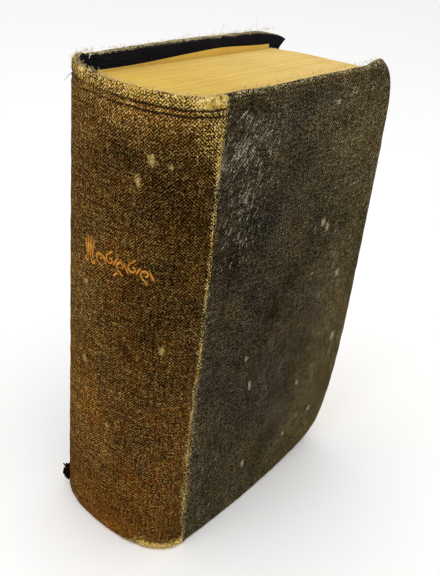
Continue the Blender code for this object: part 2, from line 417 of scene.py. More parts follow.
def faded_cloth(s, flat, threads, straw, rust, outside, on_spine):
    """The cloth's dark ground and lighter threads: charcoal on the covers, brown to gold on the spine."""
    brown = s.painted("brown")
    golden = s.painted("gold")
    patches = s.span(s.noise(flat, 0.035, 5.0, 0.72), 0.38, 0.62)
    cover_dark = s.mix(patches, (0.0080, 0.0080, 0.0085), (0.0125, 0.0105, 0.0070))
    cover_dark = s.mix(brown, cover_dark, (0.0160, 0.0130, 0.0060))
    cover_light = s.mix(patches, (0.120, 0.105, 0.073), (0.190, 0.142, 0.060))
    cover_light = s.mix(brown, cover_light, (0.205, 0.150, 0.046))
    cover_light = s.mix(straw, s.mix(rust, cover_light, (0.110, 0.062, 0.028)), (0.210, 0.172, 0.090))
    cover_light = s.mix(golden, cover_light, (0.30, 0.19, 0.065))

    stains = s.span(s.noise(flat, 0.06, 5.0, 0.75, (1.0, 0.6, 1.0)), 0.36, 0.66)
    rusty = s.painted("rusty")
    stained = s.painted("stain")
    rusty_thread = s.mix(stains, (0.165, 0.078, 0.016), (0.230, 0.078, 0.006))
    straw_thread = s.mix(rusty, (0.350, 0.225, 0.058), (0.270, 0.160, 0.040))
    golden_thread = s.mix(straw, (0.46, 0.23, 0.040), (0.78, 0.54, 0.200))
    spine_light = s.mix(stains, (0.172, 0.112, 0.040), (0.230, 0.104, 0.018))
    spine_light = s.mix(rusty, spine_light, rusty_thread)
    spine_light = s.mix(straw, s.mix(rust, spine_light, (0.185, 0.058, 0.010)), straw_thread)
    spine_light = s.mix(stained, spine_light, (0.420, 0.130, 0.012))
    spine_light = s.mix(golden, spine_light, golden_thread)
    spine_dark = s.mix(stains, (0.0070, 0.0045, 0.0024), (0.0170, 0.0066, 0.0014))
    spine_dark = s.mix(stained, spine_dark, (0.060, 0.018, 0.003))
    spine_dark = s.mix(golden, spine_dark, (0.048, 0.021, 0.004))

    dark = s.mix(outside, (0.006, 0.006, 0.009), s.mix(on_spine, cover_dark, spine_dark))
    light = s.mix(outside, (0.020, 0.020, 0.026), s.mix(on_spine, cover_light, spine_light))
    # The tone value scales the colour: random tone with painted light and shade.
    toned_and_shaded = s.node("HueSaturation")
    s.put(toned_and_shaded.inputs["Value"], s.mix(outside, (1.0, 1.0, 1.0), s.painted("tone")))
    s.put(toned_and_shaded.inputs["Color"], s.mix(threads, dark, light))
    creases = s.span(s.noise(flat, 1.0, 3.0, 0.6, (0.05, 0.55, 1.0)), 0.60, 0.68, 0.0, 0.5)
    return s.mix(s.times(creases, on_spine), toned_and_shaded.outputs[0], DEEPEST)


def rubbed_cloth(s, flat, colour, threads, straw, outside, on_spine):
    """The colour with bare pale threads at worn edges, and pale flecks."""
    wear = s.painted("wear")
    ragged = s.noise(flat, 1.0, 4.0, 0.85)
    rubbed = s.math("ADD", wear, s.scaled(ragged, 2.4, -1.2))
    rubbed = s.math("ADD", rubbed, s.scaled(threads, 0.7, -0.35))
    rubbed = s.times(s.span(rubbed, 0.35, 0.9), s.span(wear, 0.02, 0.2))
    cover_worn = s.mix(s.painted("gold"), (0.36, 0.28, 0.145), (0.66, 0.54, 0.28))
    spine_worn = s.mix(straw, (0.60, 0.39, 0.085), (0.88, 0.69, 0.26))
    colour = s.mix(rubbed, colour, s.mix(on_spine, cover_worn, spine_worn))
    flecks = s.span(s.noise(flat, 0.5, 5.0, 0.8, (1.3, 0.7, 1.0)), 0.67, 0.72, 0.0, 0.7)
    return s.mix(s.times(flecks, outside), colour, (0.38, 0.29, 0.15))


def scuffed_cloth(s, flat, colour, threads, on_spine):
    """The colour with slanted streaks where the cloth is chafed, and pale scuffs."""
    chafed = s.painted("chafed")
    slanted = s.node("Mapping", flat, vector_type="TEXTURE")
    slanted.inputs["Rotation"].default_value = (0.0, 0.0, STREAK_SLANT)
    streaks = s.noise(slanted.outputs[0], 1.0, 4.0, 0.75, (0.28, 0.75, 1.0))
    streaks = s.span(s.scaled(chafed, 0.14, streaks), 0.61, 0.68)
    streaks = s.times(streaks, s.span(chafed, 0.03, 0.2))
    streaks = s.times(streaks, s.scaled(threads, 0.85, 0.08))
    colour = s.mix(streaks, colour, (0.50, 0.450, 0.31))
    scuff = s.painted("scuff")
    ragged = s.math("ADD", scuff, s.scaled(s.noise(flat, 1.3, 4.0, 0.8), 2.6, -1.3))
    scuffs = s.times(s.span(ragged, 0.42, 0.66), s.span(scuff, 0.06, 0.22))
    scuffs = s.times(scuffs, s.scaled(threads, 0.5, 0.5))
    return s.mix(scuffs, colour, s.mix(on_spine, (0.42, 0.34, 0.21), (0.46, 0.32, 0.10)))


def tooled_cloth(s, flat, colour, place, on_spine):
    """The colour with the dark blind lines, which are fainter towards the rear."""
    tooling = s.painted("tooling")
    height = s.scaled(s.noise(flat, 0.25, 2.0, 0.5), 0.5, place[1])
    away = [s.math("ABSOLUTE", s.math("SUBTRACT", height, HEIGHT - inset + 0.25)) for inset in FILLETS]
    lines = s.span(s.math("MINIMUM", *away), 0.42, 0.20)
    lines = s.times(lines, s.span(place[0], -48.0, -18.0, 0.35, 1.0))
    lines = s.times(s.times(lines, on_spine), s.span(tooling, 0.02, 0.15))
    tooled = s.math("MAXIMUM", lines, s.times(tooling, 0.55))
    return s.mix(s.times(tooled, 0.92), colour, DEEPEST)


def book_cloth():
    """Fine buckram: charcoal covers, a faded brown spine, and blue-black where it was never lit."""
    s = Shader("book_cloth", 1.0, Specular_IOR_Level=0.0)
    flat = s.flat()
    place, height, threads = weave(s, flat)
    hue = s.noise(s.vector("ADD", flat, (40.0, 70.0, 9.0)), 0.8, 3.0, 0.8)
    straw, rust = s.span(hue, 0.50, 0.58), s.span(hue, 0.49, 0.41)
    fading = s.painted("fading")
    outside = s.span(fading, 0.0, 0.5)
    on_spine = s.span(fading, 0.5, 1.0)
    colour = faded_cloth(s, flat, threads, straw, rust, outside, on_spine)
    colour = rubbed_cloth(s, flat, colour, threads, straw, outside, on_spine)
    colour = scuffed_cloth(s, flat, colour, threads, on_spine)
    colour = tooled_cloth(s, flat, colour, place, on_spine)
    return s.finish(colour, height, 0.2)


def leaf_paper(name, edge_colour, pale_edge_colour, face_colour, dark_colour):
    """Toned paper: fine lines across the leaves' edges, which are paler far from the spine, and foxing."""
    s = Shader(name, 0.82, Sheen_Weight=0.05, Specular_IOR_Level=0.3)
    flat = s.flat()
    lines = s.noise(flat, 1.0, 2.0, 0.7, (0.035, 0.02, 5.5))
    fine = s.noise(flat, 1.0, 1.0, 0.6, (0.10, 0.06, 14.0))
    clouds = s.noise(flat, 0.06, 4.0, 0.6)
    across = s.node("SeparateXYZ", flat).outputs[0]
    edge = s.mix(s.span(across, 0.0, 70.0), edge_colour, pale_edge_colour)
    body = s.mix(s.painted("edge"), face_colour, edge)
    colour = s.mix(s.span(lines, 0.35, 0.75, 0.0, 0.22), body, dark_colour)
    colour = s.mix(s.span(fine, 0.5, 0.8, 0.0, 0.2), colour, dark_colour)
    colour = s.mix(s.span(clouds, 0.42, 0.72, 0.0, 0.3), colour, dark_colour)
    foxing = s.span(s.noise(flat, 0.35, 4.0, 0.7), 0.70, 0.78, 0.0, 0.4)
    colour = s.mix(foxing, colour, (0.36, 0.17, 0.05))
    height = s.math("ADD", lines, fine)
    return s.finish(colour, height, 0.12, 0.6)


def plain_fibre(name, pale, dark, scale, roughness=0.9):
    """Board, lining paper, tape or thread: two tones in uneven noise."""
    s = Shader(name, roughness)
    place = s.node("TexCoord").outputs["Object"]
    mottled = s.noise(place, scale, 5.0, 0.65)
    fine = s.noise(place, scale * 6, 2.0, 0.5)
    colour = s.mix(s.span(s.math("ADD", mottled, fine), 0.8, 1.2), dark, pale)
    return s.finish(colour, fine, 0.08)


def open_weave(name, pale, dark, pitch):
    """A starched gauze: pale threads crossing over darker glue."""
    s = Shader(name, 0.9)
    place = s.node("SeparateXYZ", s.node("TexCoord").outputs["Object"]).outputs
    turns = 2 * math.pi / (pitch * MM)
    across = s.math("SINE", s.times(s.math("ADD", place[0], place[1]), turns))
    upright = s.math("SINE", s.times(place[2], turns))
    threads = s.span(s.math("MAXIMUM", across, upright), 0.2, 0.8)
    return s.finish(s.mix(threads, dark, pale), threads, 0.15)


def gold_leaf():
    """Blocked gilding, worn through to the cloth's threads."""
    s = Shader("gold_leaf", 0.7, Specular_IOR_Level=0.1)
    flat = s.flat()
    worn = s.noise(flat, 1.5, 4.0, 0.8)
    tone = s.noise(flat, 0.35, 2.0, 0.5)
    gold = s.mix(s.span(tone, 0.4, 0.6), (0.44, 0.150, 0.010), (0.60, 0.255, 0.028))
    colour = s.mix(s.span(worn, 0.47, 0.60, 0.0, 0.85), gold, (0.14, 0.058, 0.010))
    return s.finish(colour, worn, 0.06)


def thread_fibre(name, pale, dark):
    """Loose threads, each a little lighter or darker along its length."""
    s = Shader(name, 0.95, Specular_IOR_Level=0.05)
    tone = s.noise(s.flat(), 1.2, 2.0, 0.5)
    return s.finish(s.mix(s.span(tone, 0.35, 0.65), dark, pale))


CLOTH = book_cloth()
LEAF_EDGES = (0.72, 0.475, 0.068), (0.80, 0.555, 0.165)
ENDPAPER_EDGE = (0.80, 0.53, 0.095)
LEAF = leaf_paper("leaf_paper", *LEAF_EDGES, (0.80, 0.66, 0.40), (0.56, 0.34, 0.080))
ENDPAPER = leaf_paper("endpaper", ENDPAPER_EDGE, ENDPAPER_EDGE, (0.82, 0.55, 0.10), (0.58, 0.31, 0.05))
BOARD = plain_fibre("millboard", (0.46, 0.35, 0.21), (0.27, 0.19, 0.10), 900)
LINING = plain_fibre("lining_paper", (0.48, 0.35, 0.18), (0.30, 0.20, 0.09), 500)
GLUE = plain_fibre("old_glue", (0.40, 0.25, 0.09), (0.22, 0.12, 0.04), 300, 0.5)
MULL = open_weave("mull", (0.66, 0.58, 0.42), (0.30, 0.20, 0.09), 1.1)
TAPE = open_weave("linen_tape", (0.70, 0.62, 0.46), (0.48, 0.40, 0.26), 0.6)
THREAD = plain_fibre("sewing_thread", (0.76, 0.68, 0.50), (0.55, 0.46, 0.30), 2500)
GOLD = gold_leaf()
PALE_FIBRE = thread_fibre("pale_fibre", (0.80, 0.68, 0.40), (0.52, 0.36, 0.14))
WHITE_FIBRE = thread_fibre("white_fibre", (0.86, 0.84, 0.78), (0.66, 0.64, 0.60))
GREY_FIBRE = thread_fibre("grey_fibre", (0.30, 0.36, 0.48), (0.20, 0.24, 0.33))
DARK_FIBRE = thread_fibre("dark_fibre", (0.020, 0.004, 0.006), (0.005, 0.002, 0.002))


# ---------------------------------------------------------------- the cloth case

EDGE_ROUND = 0.9
CORNERS = {"front": (8.4, 9.5), "rear": (3.5, 8.0)}
HEAD_CORNER_STRETCH = {"front": 1.9, "rear": 1.0}
ROW_STEP = 0.9
FINE_ROW_STEP = 0.4
FINE_ROWS_FROM = 133.0
COLUMN_STEP = 0.85
CORNER_COLUMNS = 12
TURN_IN = 12.0
TURN_IN_STEPS = (2.5, 6.0, 9.0, 12.0)
TUCK = 0.3
TUCK_DEPTH = 0.1
REAR_PATTERN = 300.0


def case_rows():
    """Shares of the height, closer together near the head, where the fillets cross the spine."""
    low, high = EDGE_ROUND, HEIGHT - EDGE_ROUND
    coarse = np.arange(low, FINE_ROWS_FROM, ROW_STEP)
    fine = np.linspace(FINE_ROWS_FROM, high, round((high - FINE_ROWS_FROM) / FINE_ROW_STEP) + 1)
    return (np.concatenate([coarse, fine]) - low) / (high - low)


def corner_edge(u, width, radius, stretch=1.0):
    """(rise from the straight edge, outward u, outward z) of a rounded corner's inset edge at u.

    stretch makes the corner an ellipse that is taller than it is wide."""
    centre = width - radius
    inner = radius - EDGE_ROUND
    share = np.clip((u - centre) / inner, 0, 1)
    down = np.sqrt(1 - share**2)
    size = np.hypot(share, down / stretch)
    return stretch * inner * (1 - down), share / size, down / stretch / size


def edge_thickness(u):
    """The spine's cloth folds over a thin inlay, a cover's over its board."""
    return SPINE_FOLD_THICKNESS + (COVER_THICKNESS - SPINE_FOLD_THICKNESS) * smooth(-3, 1.5, u)


def skirt(u, z, out_u, out_z, width):
    """Rows of flat points of the cloth that goes round an edge and is turned in."""
    thick = edge_thickness(u)
    bends = [math.radians(30 * step) for step in (1, 2, 3)]
    profile = [(EDGE_ROUND * math.sin(bend), EDGE_ROUND * (1 - math.cos(bend))) for bend in bends]
    profile.append((EDGE_ROUND, thick / 2))
    profile += [(EDGE_ROUND * math.cos(bend), thick - EDGE_ROUND * (1 - math.sin(bend))) for bend in bends]
    rows = []
    for reach, depth in profile:
        rows.append(np.column_stack([u + out_u * reach, z + out_z * reach, np.broadcast_to(depth, len(u))]))
    folded = rows[-1][:, :2]
    inner_u = np.minimum(u, width - TURN_IN - 1.0) + out_u
    inner_z = np.clip(z, TURN_IN + 1.0, HEIGHT - TURN_IN - 1.0) + out_z
    inner = np.column_stack([inner_u, inner_z])
    for reach in TURN_IN_STEPS:
        rows.append(np.column_stack([folded + (inner - folded) * reach / TURN_IN, thick]))
    return rows


def add_rows(flat, faces, loop, rows):
    """The flat points with the rows added. The faces grow too, from the loop of points onwards."""
    for row in rows:
        following = np.arange(len(flat), len(flat) + len(row))
        flat = np.vstack([flat, row])
        faces += zip(loop[:-1], loop[1:], following[1:], following[:-1])
        loop = following
    return flat


def head_dent(u, z):
    """How far the rear cover's fore-edge is pushed in, below its head corner."""
    return 3.0 * smooth(112, 138, z) * smooth(62, 79, u)


def rough_edges(flat, side):
    """Lets the head edge waver, as worn cloth does. The rear cover's is worn down at both ends."""
    u, z, d = flat[:, 0], flat[:, 1], flat[:, 2]
    near_head = smooth(HEIGHT - 4, HEIGHT, z)
    rise = 0.08 * ripple(u, d * 3, 7, 3)
    if side == "rear":
        rise = rise + 0.6 * np.sin(np.pi * np.clip(u / REAR_WIDTH, 0, 1)) - 0.5 - 1.6 * smooth(66, 79, u)
        flat[:, 0] = u - head_dent(u, z) * (1 - smooth(139.5, 143.5, z))
    if side == "front":
        rise = rise + 0.5 * (1 - smooth(2, 22, u)) * smooth(-2, 2, u)
        rise = rise + 1.3 * hill(u, FRONT_WIDTH - 9.6, 2.2)
        rise = rise - 1.5 * smooth(0.6, 3.4, d) * smooth(-2, 4, u)
    flat[:, 1] = z + near_head * rise
    return flat


def worn_joint(z):
    """The u of the line where the spine's fading ends, which wanders over the joint."""
    return -1.2 * hill(z, 38, 30)


def fillets(u, z, width):
    """Two blind lines across the spine below the head, that go on as a frame near each cover's edges."""
    total = np.zeros(len(u))
    for inset, strength in zip(FILLETS, (1.0, 0.8)):
        on_spine_line = strength * hill(z, HEIGHT - inset, 0.45) * (u < 1.0)
        away = np.minimum.reduce([HEIGHT - z, z, width - u, u - 2.6]) - inset - 1.6
        on_cover_line = 0.4 * strength * hill(away, 0, 0.35) * (u > 1.0)
        total = np.maximum.reduce([total, on_spine_line, on_cover_line])
    return total


FRONT_SEED = 3
REAR_SEED = 4


def worn_threads(u, z, d, width, seed):
    """(wear, pale foot, frayed head): how bare the threads are along the ridge and the edges."""
    from_head = np.clip(HEIGHT - z, 0, None)
    low_down = 1 - smooth(15, 70, z)
    ridge_width = 0.65 + 0.4 * low_down + 0.75 * smooth(118, 130, z) + 0.25 * ripple(z, z, 9, seed)
    ridge_wear = 0.74 - 0.03 * smooth(100, 122, z) - 0.14 * low_down + 0.30 * ripple(z, u, 10, seed + 1)
    ridge = hill(u, worn_joint(z) - 0.5, ridge_width) * ridge_wear
    head = np.where(u < 0, 0.80 * hill(from_head, 0, 3.4), 0.62 * hill(from_head, 0, 0.9))
    head = head + 0.80 * hill(from_head, 0, 15) * hill(u, -3.0, 5.0) * (u < 0.5)
    foot = smooth(-19, -12, u) * np.exp(-((z / (3.0 + 0.5 * ripple(u, u, 5, seed + 6))) ** 4))
    tail = np.where(u < 0, 1.5 * foot, 0.4 * np.exp(-z / 0.8))
    fore = 0.6 * np.exp(-np.clip(width - u, 0, None) / 1.3) * (0.5 + 0.5 * ripple(z, z, 18, seed + 2))
    frayed = (seed == REAR_SEED) * smooth(HEIGHT - 6, HEIGHT - 1, z)
    rim = (0.6 + 0.3 * frayed) * smooth(0.3, 0.9, d) * (z > 8)
    edges = np.maximum.reduce([head, tail, fore, rim]) * (0.85 + 0.25 * ripple(u, z, 8, seed + 3))
    return np.clip(np.maximum(ridge, edges), 0, 1), foot, rim * frayed


def chafed_places(u, z, seed):
    """Where a cover is chafed into slanted streaks, most of all near the head beside the joint."""
    near_joint = hill(u, 11, 11) * smooth(84, 124, z) * (1 - 0.6 * smooth(139, 143, z))
    near_joint = near_joint * (0.75 + 0.35 * ripple(u, z, 12, seed + 11))
    elsewhere = 0.2 * smooth(30, 60, u) * smooth(60, 75, z) + 0.3 * hill(u, 8, 5) * (z < 32)
    return np.clip(near_joint + elsewhere + 0.5 * hill(z, 139.5, 1.6) * smooth(45, 60, u), 0, 1)


def golden_places(u, z, foot, frayed):
    """Where sun and wear have turned the threads golden."""
    from_head = np.clip(HEIGHT - z, 0, None)
    on_spine = hill(from_head, 0, 10) * (0.65 + 0.35 * smooth(-42, -22, u))
    on_spine += 0.8 * hill(from_head, 0, 30) * smooth(-10, -4, u)
    on_spine += 0.3 * np.exp(-z / 10) + foot
    on_cover = np.maximum(0.45 * np.exp(-from_head / 2), frayed)
    return np.clip(np.where(u < 0, on_spine, on_cover), 0, 1)


def cloth_tone_and_shade(u, z, seed):
    """How light the cloth is. On the spine it holds painted shade, darker towards the front joint, and
    painted light, lighter towards the rear. A cover is lighter towards its fore-edge and gets a painted
    shadow below its head edge; both get random blotches.
    """
    from_head = np.clip(HEIGHT - z, 0, None)
    # Painted shade: darker towards the front joint, more so higher up, and all across above z 95. Painted
    # light: lighter towards the rear. Also lighter round z 42 and darker at the foot; the head band is
    # lighter at the front and darker at the rear.
    on_spine = 1.25 - 0.56 * smooth(-40, -12, u) * (0.35 + 0.65 * smooth(40, 80, z))
    on_spine -= 0.18 * smooth(95, 125, z) + 0.2 * (1 - smooth(8, 22, z))
    on_spine += 0.25 * hill(z, 42, 18) + 0.12 * smooth(-36, -56, u)
    on_spine += 0.34 * hill(from_head, 0, 12) * smooth(-40, -25, u)
    on_spine -= 0.34 * hill(from_head, 0, 14) * smooth(-24, -44, u)
    on_cover = 0.71 + 0.42 * smooth(20, 75, u) + 0.22 * smooth(105, 138, z) + 0.18 * (1 - smooth(20, 70, z))
    # Painted shadow below the cover's head edge.
    shadow = 0.22 * hill(from_head, 4.5, 3.5) * smooth(2, 8, u) * (1 - smooth(55, 66, u))
    blotch = 0.20 * ripple(u, z, 30, seed + 7) + 0.10 * ripple(u, z, 10, seed + 8)
    dark = 0.16 * smooth(0.0, 0.9, ripple(u * 1.5, z * 0.6, 20, seed + 13)) * smooth(2, 10, u)
    return np.where(u < 0, on_spine, on_cover) - shadow + blotch - dark


def paint_case(flat, width, seed):
    """The values that the cloth's material reads, over the flat cloth."""
    u, z, d = flat[:, 0], flat[:, 1], flat[:, 2]
    thick = edge_thickness(u)
    outer = 1 - smooth(thick - 0.8, thick - 0.2, d)
    spine = 1 - smooth(-1.0, 0.8, u - worn_joint(z) + 0.7 * ripple(z, z, 14, seed + 5))
    wear, foot, frayed = worn_threads(u, z, d, width, seed)
    brown = smooth(width - 40, width - 3, u) + 0.5 * smooth(128, 146, z) + 0.6 * (1 - smooth(0, 50, z))
    return {
        "fading": outer * (0.5 + 0.5 * spine),
        "wear": wear * outer,
        "tooling": fillets(u, z, width) * outer,
        "gold": golden_places(u, z, foot, frayed),
        "brown": np.clip(brown, 0, 1) * (0.8 + 0.2 * ripple(u, z, 18, seed + 9)),
        # The tone value holds random blotches with painted light and shade.
        "tone": cloth_tone_and_shade(u, z, seed),
        "chafed": chafed_places(u, z, seed) * outer * (u > 0.5),
        "rusty": np.clip(1.1 - z / 75, 0, 1) * (u < -3),
        "stain": hill(u, -27, 9) * hill(z, 0, 8) * outer,
    }


def scuffs_of(flat, spots):
    """Pale rubbed places, each (u, z, half width, half height)."""
    total = np.zeros(len(flat))
    for u, z, wide, high in spots:
        away = ((flat[:, 0] - u) / wide) ** 2 + ((flat[:, 1] - z) / high) ** 2
        total = np.maximum(total, np.exp(-away) * (flat[:, 2] < 1))
    return total


def relief(flat, painted):
    """How far the outer face lies below its plain surface: tooled lines, the joint's ridge, puckers."""
    u, z, d = flat[:, 0], flat[:, 1], flat[:, 2]
    face = d < EDGE_ROUND * 1.2
    depth = 0.36 * painted["tooling"]
    depth -= 0.32 * hill(u, -0.2, 1.1)
    depth += 0.06 * ripple(u, z, 5, 31) + 0.03 * ripple(u * 0.25, z, 4, 32) * (u < -2)
    return np.where(face, depth, 0)


SCUFF_SIZES = (0.8, 0.9), (1.3, 2.2)  # smallest and largest half width and half height


def strewn_scuffs(seed, count, nearest, farthest):
    """Small rubbed spots (across, up, half width, half height) strewn between two corners of the cloth."""
    draw = np.random.default_rng(seed)
    least, most = SCUFF_SIZES
    return [tuple(draw.uniform(nearest + least, farthest + most)) for _ in range(count)]


FRONT_SCUFFS = strewn_scuffs(31, 11, (6.0, 12.0), (72.0, 138.0))
REAR_SCUFFS = (
    (20.0, 100.0, 1.1, 3.4),
    (50.0, 60.0, 0.9, 1.6),
    (62.0, 118.0, 0.8, 2.3),
    (35.0, 24.0, 0.9, 1.4),
)
SPINE_SCUFFS = strewn_scuffs(32, 8, (-46.0, 25.0), (-5.0, 132.0))


def case_piece(name, side, width, seed, spots, flat, faces):
    """Wears, paints and shapes a piece of the case's cloth; side is front, rear or spine."""
    flat = rough_edges(flat, side)
    painted = paint_case(flat, width, seed)
    painted["scuff"] = scuffs_of(flat, spots)
    shaped = flat.copy()
    shaped[:, 2] += relief(flat, painted)
    if side != "spine":
        shaped[:, 2] += TUCK_DEPTH * (flat[:, 0] < SEAM - TUCK / 2)
    points = case_point("rear" if side == "rear" else "front", shaped)
    if side == "rear":
        flat = flat + np.array([REAR_PATTERN, 0, 0])
    obj = mesh_object(name, points, faces, CLOTH, flat, **painted)
    return apply_modifiers(solidify(obj, CLOTH_THICKNESS))


def cover_cloth(side, width, spots, seed):
    """A cover's cloth, from its seam on the spine over the joint to the fore-edge, turned in all round."""
    head_corner, tail_corner = CORNERS[side]
    widest = max(CORNERS[side])
    straight = np.arange(SEAM, width - widest, COLUMN_STEP)
    angles = np.linspace(0, math.pi / 2, CORNER_COLUMNS)
    corner = width - widest + (widest - EDGE_ROUND) * np.sin(angles)
    columns = np.concatenate([[SEAM - TUCK], straight, corner])
    shares = case_rows()
    head_rise, head_u, head_z = corner_edge(columns, width, head_corner, HEAD_CORNER_STRETCH[side])
    tail_rise, tail_u, tail_z = corner_edge(columns, width, tail_corner)
    low = EDGE_ROUND + tail_rise
    high = HEIGHT - EDGE_ROUND - head_rise
    z = low[:, None] + (high - low)[:, None] * shares[None, :]
    u = np.repeat(columns[:, None], len(shares), axis=1)
    flat = np.column_stack([u.ravel(), z.ravel(), np.zeros(u.size)])
    faces = grid_faces(*u.shape)

    index = np.arange(u.size).reshape(u.shape)
    loop = np.concatenate([index[:, 0], index[-1, 1:-1], index[::-1, -1]])
    fore = len(shares) - 2
    out_u = np.concatenate([tail_u, np.ones(fore), head_u[::-1]])
    out_z = np.concatenate([-tail_z, np.zeros(fore), head_z[::-1]])
    flat = add_rows(flat, faces, loop, skirt(flat[loop, 0], flat[loop, 1], out_u, out_z, width))
    if side == "front":
        faces = [face[::-1] for face in faces]
    obj = case_piece(f"{side}_case_cloth", side, width, seed, spots, flat, faces)
    bend_at_joint(obj)
    return stand_in(obj, f"{side}_cover_cloth")


def spine_cloth():
    """The cloth over the rounded spine between the two covers' pieces, folded in at head and tail."""
    length = SPINE_ROUND + 2 * SEAM
    columns = SEAM - np.linspace(0, length, round(length / COLUMN_STEP) + 1)
    z = EDGE_ROUND + (HEIGHT - 2 * EDGE_ROUND) * case_rows()
    u, up = grid(columns, z)
    flat = np.column_stack([u.ravel(), up.ravel(), np.zeros(u.size)])
    faces = grid_faces(*u.shape)
    index = np.arange(u.size).reshape(u.shape)
    sideways = np.zeros(len(columns))
    for loop, upward in ((index[:, 0], -1.0), (index[::-1, -1], 1.0)):
        rows = skirt(flat[loop, 0], flat[loop, 1], sideways, sideways + upward, FRONT_WIDTH)
        flat = add_rows(flat, faces, loop, rows)
    obj = case_piece("spine_case_cloth", "spine", FRONT_WIDTH, FRONT_SEED, SPINE_SCUFFS, flat, faces)
    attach(obj, "spine")
    return stand_in(obj, "spine_cloth")


# ---------------------------------------------------------------- boards, endpapers and leaves


def slab(columns, heights, front, back, flat_depth):
    """Points, flat coordinates and faces of a closed slab between two faces over a grid.

    front and back give y at (x, z). columns and heights are 2D arrays of x and z."""
    x, z = columns.ravel(), heights.ravel()
    across, up = columns.shape
    first = np.column_stack([x, front(x, z), z])
    second = np.column_stack([x, back(x, z), z])
    points = np.vstack([first, second])
    flat = np.vstack([np.column_stack([x, z, np.full(x.size, depth)]) for depth in flat_depth])
    size = across * up
    faces = [face[::-1] for face in grid_faces(across, up)]
    faces += grid_faces(across, up, size)
    index = np.arange(size).reshape(across, up)
    rim = np.concatenate([index[:-1, 0], index[-1, :-1], index[:0:-1, -1], index[0, :0:-1]])
    for a, b in zip(rim, np.roll(rim, -1)):
        faces.append((a, b, b + size, a + size))
    return points, flat, faces


def board(side, width):
    """A warped millboard with rounded corners, inside the cloth."""
    inset = 0.9
    head_inset = 2.6
    start = 1.5
    corner = max(CORNERS[side])
    straight = np.linspace(start, width - corner, 22)
    bend = width - corner + (corner - inset) * np.sin(np.linspace(0.2, math.pi / 2, 8))
    columns = np.concatenate([straight, bend])
    reach = np.clip((columns - width + corner) / (corner - inset), 0, 1)
    rise = (corner - inset) * (1 - np.sqrt(1 - reach**2)) * 0.98
    low, high = inset + rise, HEIGHT - head_inset - HEAD_CORNER_STRETCH[side] * rise
    shares = np.linspace(0, 1, 30) ** 1.3
    z = low[:, None] + (high - low)[:, None] * shares[None, :]
    x = np.repeat(columns[:, None], z.shape[1], axis=1)
    if side == "rear":
        x = x - 1.15 * head_dent(x, z)
    if side == "front":
        near, far = (lambda a, b: front_face(a, b) + 0.55), (lambda a, b: front_face(a, b) + 3.2)
    else:
        near, far = (lambda a, b: rear_face(a, b) - 3.2), (lambda a, b: rear_face(a, b) - 0.55)
    points, flat, faces = slab(x, z, near, far, (0, 2.4))
    obj = mesh_object(f"{side}_millboard", points, faces, BOARD, flat, smooth_shading=False)
    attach(obj, f"{side}_cover")
    return stand_in(obj, f"{side}_board")


def gutter_columns(start, end):
    """Values of x, closer together where a sheet bends beside the joint."""
    bend = np.arange(start, 14.0, 0.8)
    rest = np.linspace(14.0, end, 20)
    return np.concatenate([bend, rest])


def tail_heights(low, high):
    """Values of z, closer together near the tail, where the front cover is bumped."""
    return low + (high - low) * np.linspace(0, 1, 26) ** 1.4


def paper_sheet(name, side, depth, end, low, high, material, ragged=0.0, sloped=0.0):
    """A thin sheet beside a cover, at the depth below its outer face.

    sloped is how much lower its head edge is at the joint than further out."""
    columns, heights = grid(gutter_columns(-0.5, end), tail_heights(low, high))
    slope = sloped * (1 - smooth(5, 52, columns)) + 0.55 * sloped * smooth(45, 70, columns)
    heights = heights - slope * smooth(high - 20, high, heights)
    if ragged:
        at_end = smooth(end - 3, end, columns)
        columns = columns + at_end * ragged * ripple(heights, heights, 16, 41)
    waver = 0.05 * ripple(columns, heights, 30, 43).ravel()
    sign = 1 if side == "front" else -1
    face = front_face if side == "front" else rear_face

    def near(a, b):
        return face(a, b) + sign * depth + waver - 0.1

    def far(a, b):
        return face(a, b) + sign * depth + waver + 0.1

    points, flat, faces = slab(columns, heights, near, far, (-6.0, -5.8))
    edge = np.clip(1 - smooth(0.0, 2.0, np.minimum(end - flat[:, 0], high - flat[:, 1])), 0, 1)
    obj = mesh_object(name, points, faces, material, flat, smooth_shading=False, edge=edge)
    obj.data.shade_smooth()
    obj.data.set_sharp_from_angle(angle=math.radians(40))
    return obj


def endpapers(side, width):
    """The pastedown, the mull's flange under it, and the free endpaper."""
    name = f"{side}_pasted_endpaper"
    end, head = width - 8.5, LEAF_HEAD + 2.1
    depth = PASTEDOWN_DEPTH + 0.1
    pasted = paper_sheet(name, side, depth, end, 3.2, head, ENDPAPER, ragged=0.5, sloped=1.7)
    bend_at_joint(pasted)
    stand_in(pasted, f"{side}_pastedown")

    flange = paper_sheet(f"{side}_gauze_flange", side, 3.48, 28.0, GAUZE_INSET, HEIGHT - GAUZE_INSET, MULL)
    bend_at_joint(flange)
    stand_in(flange, f"{side}_mull_flange")

    name = f"{side}_loose_endpaper"
    end = fore_edge(0.0 if side == "front" else 1.0)
    free = paper_sheet(name, side, ENDPAPER_DEPTH, end, LEAF_TAIL, LEAF_HEAD, ENDPAPER, ragged=0.4)
    bend_at_joint(free)
    stand_in(free, f"{side}_free_endpaper")


LEAVES_SHOWN = 5
HALF_LEAF_GAP = 0.01
BLOCK_MIDDLE = (np.array([0.0]), np.array([70.0]))


